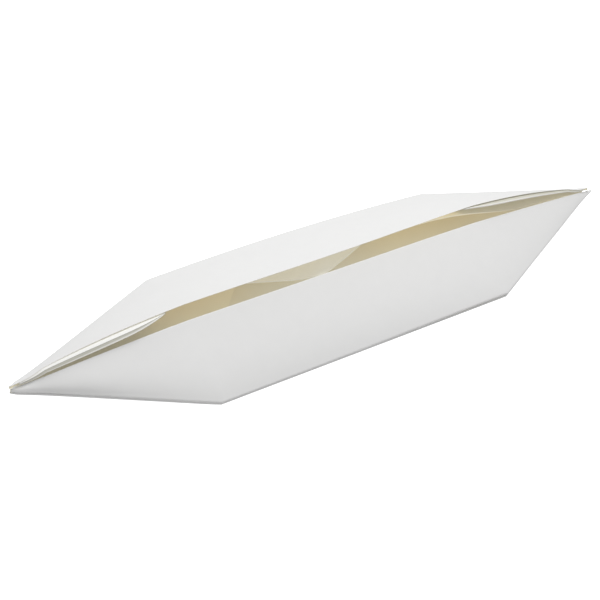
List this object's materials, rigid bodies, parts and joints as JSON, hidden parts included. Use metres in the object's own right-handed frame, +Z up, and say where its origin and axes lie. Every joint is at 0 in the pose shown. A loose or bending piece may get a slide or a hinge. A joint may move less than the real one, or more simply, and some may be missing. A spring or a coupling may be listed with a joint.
{
  "type": "folded paper boat",
  "caption": "Flat-bottomed hull folded from one square of plain paper, with pointed ends, two side walls that meet over a lengthwise slit, and flaps and tucks folded inside.",
  "frame": {"origin": "centre of the floor's underside, at the middle of the hull's length and width", "axes": "+X along the hull to the bow, +Y to port, +Z up from the surface the hull rests on"},
  "size_m": [0.2098, 0.0436, 0.0118],
  "materials": {
    "paper_outside": "matte, smooth, uncoated",
    "paper_inside": "matte, smooth, uncoated"
  },
  "bodies": {
    "floor": {"floor_middle": "paper_outside"},
    "wall_port": {"wall_port_middle": "paper_outside"},
    "wall_starboard": {"wall_starboard_middle": "paper_outside"},
    "tuck_port": {"tuck_port_lower": "paper_inside", "tuck_port_upper": "paper_inside", "tuck_flap_port_stern_lower": "paper_inside", "tuck_flap_port_stern_upper": "paper_inside", "tuck_flap_port_bow_lower": "paper_inside", "tuck_flap_port_bow_upper": "paper_inside"},
    "wall_port_bow": {"wall_port_bow": "paper_outside", "corner_port_bow_upper": "paper_inside", "corner_port_bow_lower": "paper_inside"},
    "flaps_port_bow": {"pocket_port_bow_lower": "paper_inside", "pocket_port_bow_upper": "paper_inside", "cuff_port_bow_lower": "paper_inside", "cuff_port_bow_upper": "paper_inside"},
    "wall_port_stern": {"wall_port_stern": "paper_outside", "corner_port_stern_upper": "paper_inside", "corner_port_stern_lower": "paper_inside"},
    "flaps_port_stern": {"pocket_port_stern_lower": "paper_inside", "pocket_port_stern_upper": "paper_inside", "cuff_port_stern_lower": "paper_inside", "cuff_port_stern_upper": "paper_inside"},
    "tuck_starboard": {"tuck_starboard_lower": "paper_inside", "tuck_starboard_upper": "paper_inside", "tuck_flap_starboard_stern_lower": "paper_inside", "tuck_flap_starboard_stern_upper": "paper_inside", "tuck_flap_starboard_bow_lower": "paper_inside", "tuck_flap_starboard_bow_upper": "paper_inside"},
    "wall_starboard_bow": {"wall_starboard_bow": "paper_outside", "corner_starboard_bow_upper": "paper_inside", "corner_starboard_bow_lower": "paper_inside"},
    "flaps_starboard_bow": {"pocket_starboard_bow_lower": "paper_inside", "pocket_starboard_bow_upper": "paper_inside", "cuff_starboard_bow_lower": "paper_inside", "cuff_starboard_bow_upper": "paper_inside"},
    "wall_starboard_stern": {"wall_starboard_stern": "paper_outside", "corner_starboard_stern_upper": "paper_inside", "corner_starboard_stern_lower": "paper_inside"},
    "flaps_starboard_stern": {"pocket_starboard_stern_lower": "paper_inside", "pocket_starboard_stern_upper": "paper_inside", "cuff_starboard_stern_lower": "paper_inside", "cuff_starboard_stern_upper": "paper_inside"},
    "floor_bow": {"floor_bow": "paper_outside"},
    "floor_stern": {"floor_stern": "paper_outside"}
  },
  "joints": [
    {"name": "port_wall_fold", "type": "hinge", "parent": "floor", "child": "wall_port", "pos_m": [0, 0.02175, 0.00153], "axis": [-1, 0, 0], "range_deg": [-23, 42]},
    {"name": "starboard_wall_fold", "type": "hinge", "parent": "floor", "child": "wall_starboard", "pos_m": [0, -0.02175, 0.00153], "axis": [1, 0, 0], "range_deg": [-19.71, 36]},
    {"name": "port_tuck_fold", "type": "hinge", "parent": "floor", "child": "tuck_port", "pos_m": [0, 0.02175, 0.00011], "axis": [-1, 0, 0], "range_deg": [-9.2, 16.8]},
    {"name": "port_bow_wall_bend", "type": "hinge", "parent": "wall_port", "child": "wall_port_bow", "pos_m": [0.0525, 0.02175, 0.00153], "axis": [0, 0.8829, -0.4695], "range_deg": [-5.75, 10.5]},
    {"name": "port_bow_flap_fold", "type": "hinge", "parent": "floor", "child": "flaps_port_bow", "pos_m": [0, 0.02175, 0.00082], "axis": [-1, 0, 0], "range_deg": [-10.58, 19.32]},
    {"name": "port_stern_wall_bend", "type": "hinge", "parent": "wall_port", "child": "wall_port_stern", "pos_m": [-0.0525, 0.02175, 0.00153], "axis": [0, -0.8829, 0.4695], "range_deg": [-5.75, 10.5]},
    {"name": "port_stern_flap_fold", "type": "hinge", "parent": "floor", "child": "flaps_port_stern", "pos_m": [0, 0.02175, 0.00082], "axis": [-1, 0, 0], "range_deg": [-10.58, 19.32]},
    {"name": "starboard_tuck_fold", "type": "hinge", "parent": "floor", "child": "tuck_starboard", "pos_m": [0, -0.02175, 0.00011], "axis": [1, 0, 0], "range_deg": [-7.59, 13.86]},
    {"name": "starboard_bow_wall_bend", "type": "hinge", "parent": "wall_starboard", "child": "wall_starboard_bow", "pos_m": [0.0525, -0.02175, 0.00153], "axis": [0, 0.9135, 0.4067], "range_deg": [-4.83, 8.82]},
    {"name": "starboard_bow_flap_fold", "type": "hinge", "parent": "floor", "child": "flaps_starboard_bow", "pos_m": [0, -0.02175, 0.00082], "axis": [1, 0, 0], "range_deg": [-9.2, 16.8]},
    {"name": "starboard_stern_wall_bend", "type": "hinge", "parent": "wall_starboard", "child": "wall_starboard_stern", "pos_m": [-0.0525, -0.02175, 0.00153], "axis": [0, -0.9135, -0.4067], "range_deg": [-4.83, 8.82]},
    {"name": "starboard_stern_flap_fold", "type": "hinge", "parent": "floor", "child": "flaps_starboard_stern", "pos_m": [0, -0.02175, 0.00082], "axis": [1, 0, 0], "range_deg": [-9.2, 16.8]},
    {"name": "bow_floor_bend", "type": "hinge", "parent": "floor", "child": "floor_bow", "pos_m": [0.0525, 0, 0.0001], "axis": [0, -1, 0], "range_deg": [-4.6, 8.4]},
    {"name": "stern_floor_bend", "type": "hinge", "parent": "floor", "child": "floor_stern", "pos_m": [-0.0525, 0, 0.0001], "axis": [0, 1, 0], "range_deg": [-4.6, 8.4]}
  ],
  "couplings": [
    {"joint": "starboard_wall_fold", "follows": "port_wall_fold", "ratio": 0.85714},
    {"joint": "port_tuck_fold", "follows": "port_wall_fold", "ratio": 0.4},
    {"joint": "port_bow_wall_bend", "follows": "port_wall_fold", "ratio": 0.25},
    {"joint": "port_bow_flap_fold", "follows": "port_wall_fold", "ratio": 0.46},
    {"joint": "port_stern_wall_bend", "follows": "port_wall_fold", "ratio": 0.25},
    {"joint": "port_stern_flap_fold", "follows": "port_wall_fold", "ratio": 0.46},
    {"joint": "starboard_tuck_fold", "follows": "port_wall_fold", "ratio": 0.33},
    {"joint": "starboard_bow_wall_bend", "follows": "port_wall_fold", "ratio": 0.21},
    {"joint": "starboard_bow_flap_fold", "follows": "port_wall_fold", "ratio": 0.4},
    {"joint": "starboard_stern_wall_bend", "follows": "port_wall_fold", "ratio": 0.21},
    {"joint": "starboard_stern_flap_fold", "follows": "port_wall_fold", "ratio": 0.4},
    {"joint": "bow_floor_bend", "follows": "port_wall_fold", "ratio": 0.2},
    {"joint": "stern_floor_bend", "follows": "port_wall_fold", "ratio": 0.2}
  ]
}
